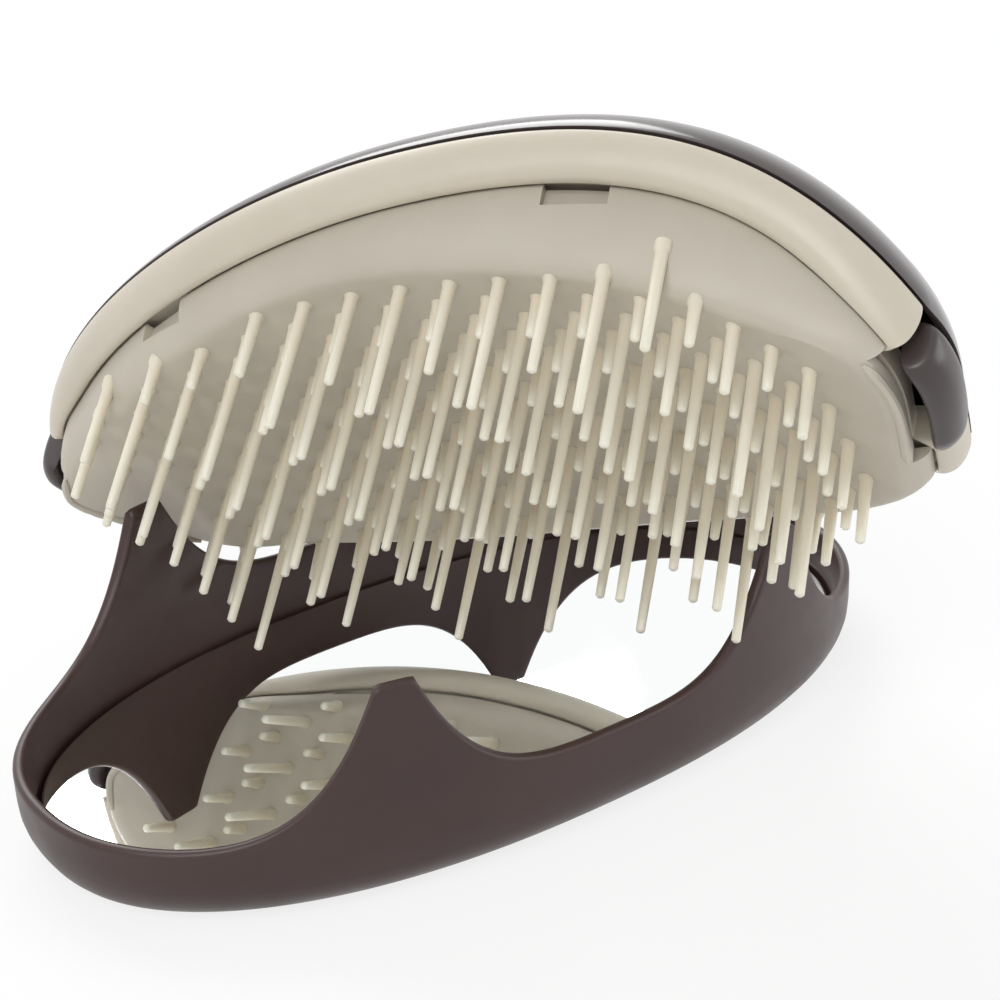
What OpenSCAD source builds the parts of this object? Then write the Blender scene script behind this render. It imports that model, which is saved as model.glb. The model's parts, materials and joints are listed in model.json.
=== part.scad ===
// Compact detangling brush with a push-fit mirror cover.
// The cover lies on its flat base, long axis along X.  The brush leans across it as it is put down
// when the mirror is in use: its back-left groove sits on the far rim of the cover.

/* [Cover] */
// Length of the cover over its end walls
cover_len = 95; // [84:0.5:108]
// Width of the cover over its side walls
cover_wid = 52.4; // [46:0.4:60]
// Wall thickness of the cover
cover_wall = 1.6; // [1.3:0.1:2]
// Wall thickness of the cover at its rim
rim_wall = 1.2; // [1:0.1:1.5]
// Thickness of the cover's floor
cover_floor = 2; // [1.6:0.1:2.6]
// Height of the four snap peaks above the base
peak_h = 22.7; // [19:0.1:25]
// Height of the rim halfway between two peaks of one side
side_dip_h = 10.6; // [9:0.1:13]
// Height of the rim at the two ends
end_dip_h = 8.3; // [7.5:0.1:11]
// Distance of a peak's middle from the middle of the cover
peak_x = 22.9; // [19:0.1:26]
// Length of a peak's flat tip
peak_tip = 3.6; // [2.4:0.1:5]

/* [Mirror] */
// Thickness of the mirror glass
glass_t = 1.2; // [1:0.1:2]
// Thickness of the adhesive pad under the glass
tape_t = 0.4; // [0.2:0.1:0.8]
// Gap all round between the glass and the wall of the cover
glass_gap = 0.5; // [0.3:0.1:1.2]

/* [Brush] */
// Length of the brush body over its rim
brush_len = 101.9; // [92:0.1:112]
// Width of the brush body over its rim
brush_wid = 53.8; // [48:0.2:60]
// Height of the back over the middle of the pin pad
back_h = 19; // [17:0.1:22]
// Thickness of the top shell
shell_t = 1.6; // [1.2:0.1:2.2]
// Width of the rolled rim between its outer edge and the groove round the pin plate
rim_wid = 2.65; // [2.4:0.05:3]
// Depth of the groove's edge under the outer edge of the rim
rim_drop = 3.9; // [3.2:0.1:4.4]
// Thickness of the pin plate
plate_t = 1.6; // [1.2:0.1:2.2]
// Play left round each moving or seated piece
play = 0.25; // [0.15:0.05:0.35]

/* [Pins] */
// Distance between two pins of a row
pin_step = 5.04; // [4.6:0.02:5.6]
// Distance between two rows
row_step = 2.74; // [2.5:0.02:3]
// Length of the long pins
pin_long = 13.5; // [11:0.1:15]
// Length of the medium pins
pin_mid = 9.7; // [8:0.1:11]
// Length of the pins next to the edge of the field
pin_edge = 6.8; // [5:0.1:8]
// Length of the short pins between the rows
pin_short = 4.2; // [3:0.1:5]
// Thickness of a pin at its root
pin_root = 1.2; // [0.9:0.05:1.5]
// Thickness of a pin at its tip
pin_tip = 0.9; // [0.6:0.05:1.2]

/* [Release buttons] */
// Width of a release button along the rim
button_wid = 17; // [13:0.2:20]
// Depth of a release button from its face to its back
button_depth = 3; // [2.6:0.1:3.4]
// Travel of a release button
button_travel = 1.2; // [0.8:0.1:1.4]

/* [Brush put down] */
// Middle of the pin pad above the cover, from the middle of the base
lean_at = [1.12, -2.36, 34.79];
// Turn of the brush about X, Y and Z
lean_turn = [-56.64, -13.42, -58.63];

/* [Hidden] */

// Outlines: half sizes and the exponent of the superellipse they follow
cover_n = 2.25;
cover_a = cover_len / 2;
cover_b = cover_wid / 2;
brush_n = 1.87;
brush_egg = 0.335;
brush_a = brush_len / 2;
brush_b = brush_wid / 2;

// Cover, lower corner between the base and the wall
foot_rise = 5;
foot_in_x = 3.6;
foot_in_y = 5.2;
rim_round = 0.45;
peak_in = peak_x - peak_tip / 2;
peak_out = peak_x + peak_tip / 2;
side_steep = 4;
end_steep = 6;
mirror_z = cover_floor + tape_t;

// Brush: heights of the rim's edge and of the pin pad over the half length and half width
arch_rise = 8.1;
arch_tilt = 7.3;
arch_2 = -2;
arch_3 = -12.4;
arch_4 = -8;
pad_2 = 12.5;
pad_4 = 0.8;
pad_side = 1.3;
back_tilt = 5;
back_bow = 2;
back_swell = 2.5;
back_round = 1.5;
groove_in = rim_wid + play;
pad_in = 2.6;
seam = 0.3;

// Flange of the frame over the lip of the plate, and the hooks that grip it
recess = button_depth + button_travel + play;
reach = max(rim_wid + 1.8, recess + 0.95);
flange_low = 1.2 - rim_drop;
flange_t = 1.5;
ledge_h = 0.6;
ledge_in = shell_t + 2 * play + 0.3;
lip = 0.3;
hook_angles = [75, 84, 93, 102, 111];
hook_len = 4;
hook_t = 1.2;
slot_angles = [66.6, 124.1];
slot_len = 6;
slot_cut = 2;

// Pin field: first and last pin of each row from the edge to the middle, in pin steps
row_first = [-1, -3.5, -5, -5.5, -6, -5.5, -6, -5.5];
row_last = [7, 7.5, 8, 8.5, 9, 8.5, 9, 8.5];
// Rows of the far half that start one pin later, over the rim that the brush leans on
late_rows = [7, 8, 9, 10, 11];
field_mid = 1.53;
mid_row = 7;

function se(a, b, n, t) = [a * sign(cos(t)) * pow(abs(cos(t)), 2 / n),
                           b * sign(sin(t)) * pow(abs(sin(t)), 2 / n)];

// One quarter of the cover's outline as points of a unit superellipse, closer together at the peaks
end_steps = 12;
side_steps = 12;
tip_steps = 2;
tip_angle = acos(pow(peak_out / cover_a, cover_n / 2));
function unit_y(ux) = pow(1 - pow(ux, cover_n), 1 / cover_n);
quarter = concat(
    [for (i = [0:end_steps - 1]) se(1, 1, cover_n, tip_angle * (1 - pow(1 - i / end_steps, 1.7)))],
    [for (i = [0:tip_steps]) let (ux = (peak_out - peak_tip * i / tip_steps) / cover_a) [ux, unit_y(ux)]],
    [for (i = [1:side_steps]) let (ux = peak_in / cover_a * (1 - pow(i / side_steps, 1.7)))
        [ux, unit_y(ux)]]);
quarter_n = len(quarter) - 1;
unit_ring = concat(
    [for (i = [0:quarter_n]) quarter[i]],
    [for (i = [1:quarter_n]) [-quarter[quarter_n - i].x, quarter[quarter_n - i].y]],
    [for (i = [1:quarter_n]) [-quarter[i].x, -quarter[i].y]],
    [for (i = [1:quarter_n - 1]) [quarter[quarter_n - i].x, -quarter[quarter_n - i].y]]);

// Height of the cover's rim over a point of its outline: flat peaks, dipped between them
side_reach = peak_in;
end_reach = norm([cover_a - peak_out, cover_b * unit_y(peak_out / cover_a)]);
tip_edge = [peak_out, cover_b * unit_y(peak_out / cover_a)];
function dip(low, reach, u, steep) = low + (peak_h - low) * pow(max(0, 1 - u / reach), steep);
function rim_height(p) = let (x = abs(p.x), y = abs(p.y))
    x < peak_in ? dip(side_dip_h, side_reach, peak_in - x, side_steep)
    : x <= peak_out ? peak_h
    : dip(end_dip_h, end_reach, norm([x, y] - tip_edge), end_steep);

function cover_ring(a, b, z) = [for (u = unit_ring) [a * u.x, b * u.y, z]];
// A ring of the wall: inset from the outline, at a share of the rise from the foot to the rim
function wall_ring(inset, share, drop = 0) =
    [for (u = unit_ring) let (top = rim_height([cover_a * u.x, cover_b * u.y]) - drop)
        [(cover_a - inset) * u.x, (cover_b - inset) * u.y, foot_rise + (top - foot_rise) * share]];

// Closed skin over a stack of rings, from the middle of the first to the middle of the last
module skin(rings, first_mid, last_mid) {
    n = len(rings[0]);
    m = len(rings);
    points = concat([first_mid], [for (r = rings) each r], [last_mid]);
    function at(i, j) = 1 + i * n + j % n;
    faces = concat(
        [for (j = [0:n - 1]) [0, at(0, j), at(0, j + 1)]],
        [for (i = [0:m - 2], j = [0:n - 1]) [at(i, j), at(i + 1, j), at(i, j + 1)]],
        [for (i = [0:m - 2], j = [0:n - 1]) [at(i, j + 1), at(i + 1, j), at(i + 1, j + 1)]],
        [for (j = [0:n - 1]) [m * n + 1, at(m - 1, j + 1), at(m - 1, j)]]);
    polyhedron(points = points, faces = faces);
}

// Closed tube over rings that meet again at the first
module ring_tube(rings) {
    n = len(rings[0]);
    m = len(rings);
    function at(i, j) = (i % m) * n + j % n;
    polyhedron(points = [for (r = rings) each r], faces = concat(
        [for (i = [0:m - 1], j = [0:n - 1]) [at(i, j), at(i, j + 1), at(i + 1, j)]],
        [for (i = [0:m - 1], j = [0:n - 1]) [at(i, j + 1), at(i + 1, j + 1), at(i + 1, j)]]));
}

// ---- Cover ----

module cover_shell() {
    foot = [for (t = [0, 20, 40, 60, 78]) [sin(t), foot_rise * (1 - cos(t))]];
    outer = concat(
        [for (f = foot) cover_ring(cover_a - foot_in_x * (1 - f[0]), cover_b - foot_in_y * (1 - f[0]), f[1])],
        [wall_ring(0, 0.12), wall_ring(0, 0.5), wall_ring(0, 1, rim_round),
         wall_ring(0.3, 1)]);
    inner = [wall_ring(rim_wall - 0.3, 1), wall_ring(rim_wall, 1, rim_round),
             wall_ring((rim_wall + cover_wall) / 2, 0.5), wall_ring(cover_wall, 0.1),
             cover_ring(cover_a - cover_wall - 0.2, cover_b - cover_wall - 0.2, cover_floor)];
    color([0.30, 0.22, 0.21]) skin(concat(outer, inner), [0, 0, 0], [0, 0, cover_floor]);
}

// Outline of the glass and of its pad, an even gap inside the wall
module mirror_outline(inset) {
    a = cover_a - cover_wall - glass_gap - inset;
    b = cover_b - cover_wall - glass_gap - inset;
    polygon([for (u = unit_ring) [a * u.x, b * u.y]]);
}

module mirror_tape() {
    color([0.85, 0.85, 0.8]) translate([0, 0, cover_floor])
        linear_extrude(tape_t) mirror_outline(4);
}

module mirror_glass() {
    color([0.8, 0.85, 0.85]) translate([0, 0, mirror_z])
        linear_extrude(glass_t) mirror_outline(0);
}

// ---- Brush, in its own frame: pins along -Z, back along +Z ----

brush_steps = 80;
function brush_angle(j) = 360 * j / brush_steps;
function brush_outline(a, b, t) = se(a, b, brush_n + brush_egg * cos(t), t);
function rim_z(x) = let (u = x / brush_a)
    arch_rise + arch_tilt * u + arch_2 * u * u + arch_3 * pow(u, 3) + arch_4 * pow(u, 4);
function pad_z(p) = let (u = p.x / brush_a, v = p.y / brush_b)
    -pad_2 * u * u + pad_4 * pow(u, 4) - pad_side * v * v;

module put_down() {
    translate(lean_at) rotate(lean_turn) children();
}

// A ring of the back, at a share of the way from the middle line out to the rim; its top tilts
function back_top(x) = let (u = x / brush_a) back_h + back_tilt * u - back_bow * u * u;
function dome_ring(share, inset) = let (a = brush_a - inset, b = brush_b - inset,
                                        rise = pow(1 - pow(share, back_swell), 1 / back_round))
    [for (j = [0:brush_steps - 1]) let (p = brush_outline(a, b, brush_angle(j)), e = rim_z(p.x) + seam)
        [p.x * share, p.y * share, e + (back_top(p.x * share) - inset - e) * rise]];

module top_shell() {
    profile = [1, 0.985, 0.95, 0.88, 0.76, 0.6, 0.42, 0.2];
    last = len(profile) - 1;
    color([0.28, 0.21, 0.20]) put_down() skin(
        concat([for (i = [0:last]) dome_ring(profile[last - i], shell_t)],
               [for (t = profile) dome_ring(t, 0)]),
        [0, 0, back_h - shell_t], [0, 0, back_h]);
}

// Rolled rim: its section as inset from the outline and height over the rim's edge
rim_section = [[0, 0], [0, -0.3 * rim_drop], [0.12 * rim_wid, -0.62 * rim_drop],
               [0.35 * rim_wid, -0.9 * rim_drop], [0.65 * rim_wid, -1.04 * rim_drop],
               [rim_wid, -rim_drop], [rim_wid, flange_low - 0.2], [reach, flange_low],
               [reach, flange_low + flange_t], [rim_wid + 0.2, flange_low + flange_t + 0.4],
               [ledge_in + 0.6, ledge_h], [ledge_in, ledge_h], [ledge_in, 0]];
first_flange = 6;
last_flange = 9;

// Near the two ends the rim draws back for a release button, straight along the brush
end_wid = button_wid / 2 + play;
recess_blend = 2.2;
turn_blend = 10;
function ease(s) = s <= 0 ? 0 : s >= 1 ? 1 : (1 - cos(180 * s)) / 2;
function draw_back(p) = recess * ease((end_wid + recess_blend - abs(p.y)) / recess_blend);

frame_steps = 120;
function frame_point(t) = brush_outline(brush_a, brush_b, t);
function inward(t) = let (
    d = frame_point(t + 0.5) - frame_point(t - 0.5), n = [-d.y, d.x] / norm(d), p = frame_point(t),
    w = abs(p.x) < brush_a / 2 ? 0 : ease((end_wid + turn_blend - abs(p.y)) / turn_blend),
    v = n * (1 - w) + [-sign(p.x), 0] * w) v / norm(v);
function edge_point(t, inset) = frame_point(t) + inward(t) * inset;
function frame_angle(j) = let (q = floor(4 * j / frame_steps), s = 4 * j / frame_steps - q,
                               e = q % 2 == 0 ? pow(s, 1.25) : 1 - pow(1 - s, 1.25)) 90 * (q + e);
// How far the flange is lifted to stay over the plate where the rim comes down to it
function flange_lift(t) = max(0, pad_z(edge_point(t, reach)) + plate_t + 3 * play
                                 - rim_z(frame_point(t).x) - flange_low);

module body_frame() {
    rings = [for (i = [0:len(rim_section) - 1]) let (c = rim_section[i]) [for (j = [0:frame_steps - 1]) let (
        t = frame_angle(j), p = frame_point(t), r = draw_back(p), up = flange_lift(t),
        low = flange_low + 0.05 * (c[1] - flange_low) + up,
        h = i < first_flange ? c[1] + max(0, low - c[1]) * r / recess
            : i <= last_flange ? c[1] + up : c[1],
        v = edge_point(t, r + c[0] * (reach - r) / reach)) [v.x, v.y, rim_z(p.x) + h]]];
    color([0.86, 0.80, 0.72]) put_down() ring_tube(rings);
}

// Rings of the pin plate: the pad, then the rounded skirt up to the groove
function lip_z(t) = max(rim_z(frame_point(t).x) - rim_drop + lip,
                        pad_z(edge_point(t, groove_in + pad_in)) + plate_t / 2);
function plate_ring(share, lift, thick) = [for (j = [0:brush_steps - 1]) let (
    t = brush_angle(j),
    g = edge_point(t, groove_in + thick),
    p = edge_point(t, groove_in + pad_in + thick),
    q = p + (g - p) * share,
    low = pad_z(p) + thick, high = lip_z(t))
    [q.x, q.y, low + (high - low) * lift]];
function pad_ring(scale, thick) = [for (j = [0:brush_steps - 1]) let (
    p = edge_point(brush_angle(j), groove_in + pad_in + thick) * scale) [p.x, p.y, pad_z(p) + thick]];

module plate_body() {
    skirt = [20, 42, 66, 90];
    skin(concat(
        [for (s = [0.3, 0.6, 0.85]) pad_ring(s, 0)],
        [plate_ring(0, 0, 0)],
        [for (t = skirt) plate_ring(sin(t), 1 - cos(t), 0)],
        [for (i = [0:3]) plate_ring(sin(skirt[3 - i]), 1 - cos(skirt[3 - i]), plate_t)],
        [plate_ring(0, 0, plate_t)],
        [for (s = [0.85, 0.6, 0.3]) pad_ring(s, plate_t)]),
        [0, 0, 0], [0, 0, plate_t]);
}

function field_place(k, row) = [(k - field_mid) * pin_step, (row - mid_row) * row_step];

// How far the plate rises over the pad at a place past the pad's edge
skirt_steps = 240;
skirt_edge = [for (j = [0:skirt_steps - 1]) edge_point(360 * j / skirt_steps, groove_in + pad_in)];
function edge_rise(p) = let (
    d = [for (q = skirt_edge) norm(p - q)], m = min(d),
    j = [for (i = [0:skirt_steps - 1]) if (d[i] == m) i][0], t = 360 * j / skirt_steps, s = min(0.9, (skirt_edge[j] - p) * inward(t) / pad_in))
    s <= 0 ? 0 : (lip_z(t) - pad_z(p)) * (1 - sqrt(1 - s * s));

// A pin of four sides, from inside the plate to its tip
module pin(top, length) {
    r1 = pin_root / 2;
    r2 = pin_tip / 2;
    corners = [[-1, -1], [1, -1], [1, 1], [-1, 1]];
    polyhedron(
        points = concat([for (c = corners) [c.x * r2, c.y * r2, -length]],
                        [for (c = corners) [c.x * r1, c.y * r1, top]]),
        faces = [[0, 1, 2], [0, 2, 3], [4, 6, 5], [4, 7, 6],
                 for (i = [0:3]) each [[i, i + 4, (i + 1) % 4], [(i + 1) % 4, i + 4, (i + 1) % 4 + 4]]]);
}

function pin_length(k, row, first, last) =
    row % 2 == 1 ? pin_short
    : k < first + 1 || k > last - 1 ? pin_edge
    : k % 2 == 0 ? pin_long : pin_mid;

module pins() {
    for (row = [0:2 * mid_row]) {
        i = min(row, 2 * mid_row - row);
        first = row_first[i] + len([for (r = late_rows) if (r == row) r]);
        for (k = [first:row_last[i]]) {
            p = field_place(k, row);
            translate([p.x, p.y, pad_z(p)])
                pin(plate_t / 2 + edge_rise(p), pin_length(k, row, first, row_last[i]));
        }
    }
}

// Hooks that hold the plate: each stands inside the frame's flange and grips over its edge
module hooks() {
    for (a = hook_angles, side = [-1, 1]) {
        t = side * a;
        foot = edge_point(t, groove_in + plate_t / 2);
        n = inward(t);
        post = reach + play - groove_in - plate_t / 2;
        grip = rim_drop + flange_low + flange_t + 2 * play;
        translate([foot.x, foot.y, rim_z(frame_point(t).x) - rim_drop]) rotate(atan2(n.y, n.x)) {
            translate([0, -hook_len / 2, -hook_t]) cube([post + hook_t, hook_len, hook_t]);
            translate([post, -hook_len / 2, -hook_t]) cube([hook_t, hook_len, hook_t + grip + 1]);
            translate([post, -hook_len / 2, grip]) hull() {
                translate([-0.6, 0, 0]) cube([0.6, hook_len, 0.3]);
                cube([hook_t, hook_len, hook_t]);
            }
        }
    }
}

// Slots in the edge of the plate that take the four peaks of the cover
module slots() {
    for (a = slot_angles, side = [-1, 1]) {
        t = side * a;
        p = edge_point(t, groove_in);
        n = inward(t);
        translate([p.x, p.y, rim_z(frame_point(t).x) - rim_drop]) rotate(atan2(n.y, n.x))
            cube([2 * slot_cut, slot_len, 2 * slot_cut], center = true);
    }
}

// Pockets in the ends of the plate that leave room for the buttons and for the rim drawn back
module pockets() {
    w = end_wid + recess_blend;
    for (side = [-1, 1]) translate([0, 0, rim_z(side * brush_a) - 12]) linear_extrude(20)
        polygon(concat([for (i = [-6:6]) [end_x(side, w * i / 6) - side * recess, w * i / 6]],
                       [[side * (brush_a + 2), w], [side * (brush_a + 2), -w]]));
}

module pin_plate() {
    color([0.84, 0.78, 0.70]) put_down() difference() {
        union() {
            plate_body();
            pins();
            hooks();
        }
        slots();
        pockets();
    }
}

// Release button: an end piece of the rim between the two rolled sides, with a rounded face
button_steps = 12;
button_round = 0.8;
button_proud = 0.4;
button_low = 7.5;
function button_y(i) = (button_wid / 2 - play) * sin(90 * (2 * i / button_steps - 1));
function end_n(side, y) = let (n = brush_n + side * brush_egg)
    brush_n + side * brush_egg * sqrt(1 - pow(abs(y) / brush_b, n));
function end_x(side, y) = let (n = end_n(side, y)) side * brush_a * pow(1 - pow(abs(y) / brush_b, n), 1 / n);

// Section of the button across the rim: how far in from its face, and how far down from the shell
button_section = [[0.9, 0], [0.1, -0.9], [0, -2.5], [0.3, -5], [1.1, -6.8], [2.1, -7.4],
                  [3, -6.9], [3, -0.2], [2.2, 0]];

module button(side) {
    section_n = len(button_section);
    ring = [for (i = [0:button_steps]) let (
        y = button_y(i), edge = 1 - pow(abs(2 * i / button_steps - 1), 6),
        x = end_x(side, y), e = rim_z(x) - 0.1)
        [for (c = button_section) [
            x + side * (button_proud * edge - c[0] * (edge * 0.25 + 0.75) - 0.35 * (1 - edge)),
            y, e + c[1] * (0.86 + 0.14 * edge)]]];
    points = [for (r = ring) each r];
    function at(i, j) = i * section_n + j % section_n;
    sides = [for (i = [0:button_steps - 1], j = [0:section_n - 1])
        each [[at(i, j), at(i + 1, j), at(i, j + 1)], [at(i, j + 1), at(i + 1, j), at(i + 1, j + 1)]]];
    ends = concat([[for (j = [0:section_n - 1]) at(0, j)]],
                  [[for (j = [0:section_n - 1]) at(button_steps, section_n - 1 - j)]]);
    faces = concat(sides, ends);
    color([0.26, 0.20, 0.19]) put_down()
        polyhedron(points = points,
                   faces = side > 0 ? faces : [for (f = faces) [for (i = [len(f) - 1:-1:0]) f[i]]]);
}

module left_button() { button(-1); }
module right_button() { button(1); }

cover_shell();
mirror_glass();
mirror_tape();
top_shell();
body_frame();
pin_plate();
left_button();
right_button();
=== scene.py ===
import json
import math

import bmesh
import bpy
import numpy as np
from mathutils import Euler, Matrix, Vector

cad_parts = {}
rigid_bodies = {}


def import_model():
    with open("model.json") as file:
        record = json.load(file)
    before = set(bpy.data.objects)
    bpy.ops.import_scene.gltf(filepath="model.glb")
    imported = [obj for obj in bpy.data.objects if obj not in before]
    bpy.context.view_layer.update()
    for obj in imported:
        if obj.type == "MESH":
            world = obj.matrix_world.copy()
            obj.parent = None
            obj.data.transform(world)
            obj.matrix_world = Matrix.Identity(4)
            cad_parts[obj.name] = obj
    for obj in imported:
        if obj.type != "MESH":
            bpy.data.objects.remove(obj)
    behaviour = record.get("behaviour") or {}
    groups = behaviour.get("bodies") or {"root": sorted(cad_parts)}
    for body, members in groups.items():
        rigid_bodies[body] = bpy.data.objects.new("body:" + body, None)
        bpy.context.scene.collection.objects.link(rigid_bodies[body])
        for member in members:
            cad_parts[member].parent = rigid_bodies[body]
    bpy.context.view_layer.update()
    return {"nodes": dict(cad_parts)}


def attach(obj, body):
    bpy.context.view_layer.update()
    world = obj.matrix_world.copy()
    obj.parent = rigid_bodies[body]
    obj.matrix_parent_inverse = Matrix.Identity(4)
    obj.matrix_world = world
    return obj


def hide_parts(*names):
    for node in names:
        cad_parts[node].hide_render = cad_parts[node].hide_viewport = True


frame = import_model()

MM = 0.001
scene = bpy.context.scene

# ---- Sizes in millimetres. They are the CAD parts' own; those of the buttons, the blunter right
# nose and the raised left end of the pin field follow the photograph closer ----

COVER_LEN, COVER_WID, COVER_N = 95.0, 52.4, 2.25
COVER_WALL, RIM_WALL, COVER_FLOOR = 1.6, 1.2, 2.0
PEAK_H, SIDE_DIP_H, END_DIP_H = 22.7, 10.6, 8.3
PEAK_X, PEAK_TIP = 22.9, 3.6
FOOT_RISE, FOOT_IN_X, FOOT_IN_Y = 5.0, 3.6, 5.2
GLASS_T, TAPE_T, GLASS_GAP = 1.2, 0.4, 0.5
# GLASS_LINE is the width of the ring that carries the painted reflection of the glass edge.
GLASS_EDGE, GLASS_LINE = 1.0, 0.25

BRUSH_LEN, BRUSH_WID, BRUSH_N, BRUSH_EGG = 101.9, 53.8, 1.87, 0.335
BRUSH_A, BRUSH_B = BRUSH_LEN / 2, BRUSH_WID / 2
BACK_H, BACK_TILT, BACK_BOW, BACK_SWELL, BACK_ROUND = 19.0, 5.0, 2.0, 2.5, 1.5
SHELL_T, RIM_WID, RIM_DROP, PLATE_T, PLAY = 1.6, 2.65, 3.9, 1.6, 0.25
BUTTON_WID, BUTTON_DEPTH, BUTTON_TRAVEL = 13.0, 3.0, 1.2
RIGHT_BUTTON_Y, LEFT_BUTTON_Y, LEFT_BUTTON_TALL = -3.0, 4.0, 1.4
BUTTON_SEAM, BUTTON_CROWN, BUTTON_ROUND = 0.1, 0.4, 0.35
GROOVE_IN, PAD_IN, SEAM, LIP = RIM_WID + PLAY, 2.6, 0.3, 0.3
ARCH = (8.1, 7.3, -2.0, -12.4, -8.0)
PAD_BEND, PAD_FLATTEN, PAD_CROWN = -12.5, 0.8, -1.3
RECESS = BUTTON_DEPTH + BUTTON_TRAVEL + PLAY
REACH = max(RIM_WID + 1.8, RECESS + 0.95)
FLANGE_LOW, FLANGE_T = 1.2 - RIM_DROP, 1.5
LEDGE_H, LEDGE_IN = 0.6, SHELL_T + 2 * PLAY + 0.3
END_WID, RECESS_BLEND, TURN_BLEND = BUTTON_WID / 2 + PLAY, 0.9, 12.0

PIN_STEP, ROW_STEP, FIELD_MID, MID_ROW = 5.04, 2.74, 1.53, 7
PIN_LONG, PIN_MID, PIN_EDGE, PIN_SHORT = 13.5, 9.7, 6.8, 4.2
PIN_ROOT, PIN_TIP = 1.2, 0.9
PIN_FLARE, PIN_SUNK, PIN_TILT = PIN_ROOT * 1.32, 0.4, 0.02
ROW_FIRST = [-1, -3.5, -5, -5.5, -6, -5.5, -6, -5.5]
ROW_LAST = [7, 7.5, 8, 8.5, 9, 8.5, 9, 8.5]
LATE_ROWS = [7, 8, 9, 10, 11]

LEAN_AT = Vector((1.12, -2.36, 34.79)) * MM
LEAN_TURN = [math.radians(a) for a in (-56.64, -13.42, -58.63)]
PUT_DOWN = Matrix.Translation(LEAN_AT) @ Euler(LEAN_TURN, "XYZ").to_matrix().to_4x4()


# ---- Mesh building ----

def finished_mesh(name, points, faces, sharp=35.0, groups=None):
    """A smooth-shaded piece from points in millimetres, creased where its faces meet sharply."""
    mesh = bpy.data.meshes.new(name)
    mesh.from_pydata([tuple(p) for p in np.asarray(points, float) * MM], [], faces)
    mesh.validate()
    if groups is not None:
        mesh.polygons.foreach_set("material_index", groups)
    piece = bpy.data.objects.new(name, mesh)
    scene.collection.objects.link(piece)
    soften(piece, sharp)
    return piece


def soften(piece, sharp=35.0):
    """Smooth shading, broken where faces meet at more than the sharp angle."""
    piece.data.shade_smooth()
    piece.data.set_sharp_from_angle(angle=math.radians(sharp))
    piece.data.update()


def skin(rings, first_mid=None, last_mid=None, joined=False):
    """Points and faces of a skin over rings of equal length; its two ends close on a middle point."""
    rings = [np.asarray(r, float) for r in rings]
    n, m = len(rings[0]), len(rings)
    points = [p for r in rings for p in r]
    faces = []
    for i in range(m if joined else m - 1):
        for j in range(n):
            a, b = i * n + j, i * n + (j + 1) % n
            c, d = ((i + 1) % m) * n + (j + 1) % n, ((i + 1) % m) * n + j
            faces.append((a, b, c, d))
    if first_mid is not None:
        points.append(first_mid)
        k = len(points) - 1
        faces += [(k, (j + 1) % n, j) for j in range(n)]
    if last_mid is not None:
        points.append(last_mid)
        k, s = len(points) - 1, (m - 1) * n
        faces += [(k, s + j, s + (j + 1) % n) for j in range(n)]
    return points, faces


def outward(piece):
    """Turns every face of a closed piece outwards."""
    bm = bmesh.new()
    bm.from_mesh(piece.data)
    bmesh.ops.recalc_face_normals(bm, faces=bm.faces)
    if bm.calc_volume(signed=True) < 0:
        bmesh.ops.reverse_faces(bm, faces=bm.faces)
    bm.to_mesh(piece.data)
    bm.free()
    return piece


def put_down(piece):
    """Moves a piece from the brush's own frame to where the brush leans on the cover."""
    piece.data.transform(PUT_DOWN)
    piece.data.update()
    return piece


def joined_piece(name, pieces):
    """One piece from several, all at the origin."""
    for o in scene.collection.objects:
        o.select_set(o in pieces)
    bpy.context.view_layer.objects.active = pieces[0]
    bpy.ops.object.join()
    pieces[0].name = pieces[0].data.name = name
    return pieces[0]


def plain(piece, name):
    """The evaluated mesh of a piece with modifiers, as a piece without them."""
    graph = bpy.context.evaluated_depsgraph_get()
    mesh = bpy.data.meshes.new_from_object(piece.evaluated_get(graph), depsgraph=graph)
    mesh.name = name
    done = bpy.data.objects.new(name, mesh)
    scene.collection.objects.link(done)
    bpy.data.objects.remove(piece)
    return done


def cut(piece, tools):
    """Cuts the tools out of a piece and takes them away."""
    for tool in tools:
        step = piece.modifiers.new("cut", "BOOLEAN")
        step.operation, step.solver, step.object = "DIFFERENCE", "EXACT", tool
    done = plain(piece, piece.name)
    for tool in tools:
        bpy.data.objects.remove(tool)
    return done


def bead(name, path, radius, sides=8):
    """A closed round bead along a path in millimetres, tapered to nothing at its two ends."""
    path = np.asarray(path, float)
    rings = []
    for i, p in enumerate(path):
        d = path[min(i + 1, len(path) - 1)] - path[max(i - 1, 0)]
        d /= np.linalg.norm(d)
        u = np.cross(d, (0, 0, 1.0))
        u /= np.linalg.norm(u)
        v = np.cross(u, d)
        r = radius * min(1, 0.35 + min(i, len(path) - 1 - i) / 3)
        rings.append([p + r * (math.cos(a) * u + math.sin(a) * v)
                      for a in np.linspace(0, 2 * math.pi, sides, endpoint=False)])
    return outward(finished_mesh(name, *skin(rings, path[0], path[-1])))


def oval(a, b, n, t):
    """Points of a superellipse with half axes a and b at angles t in degrees."""
    c, s = np.cos(np.radians(t)), np.sin(np.radians(t))
    x = a * np.sign(c) * np.abs(c) ** (2 / n)
    y = b * np.sign(s) * np.abs(s) ** (2 / n)
    return np.stack([x, y], -1)


# ---- Cover and mirror ----

COVER_A, COVER_B = COVER_LEN / 2, COVER_WID / 2
PEAK_IN, PEAK_OUT = PEAK_X - PEAK_TIP / 2, PEAK_X + PEAK_TIP / 2
SIDE_SLOPE, END_SLOPE = 4, 6
MIDDLE_IN, LIP_DROP = 14.0, 0.6


def unit_y(ux):
    """Height of the cover's unit outline over a share of its half length."""
    return (1 - np.abs(ux) ** COVER_N) ** (1 / COVER_N)


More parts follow.
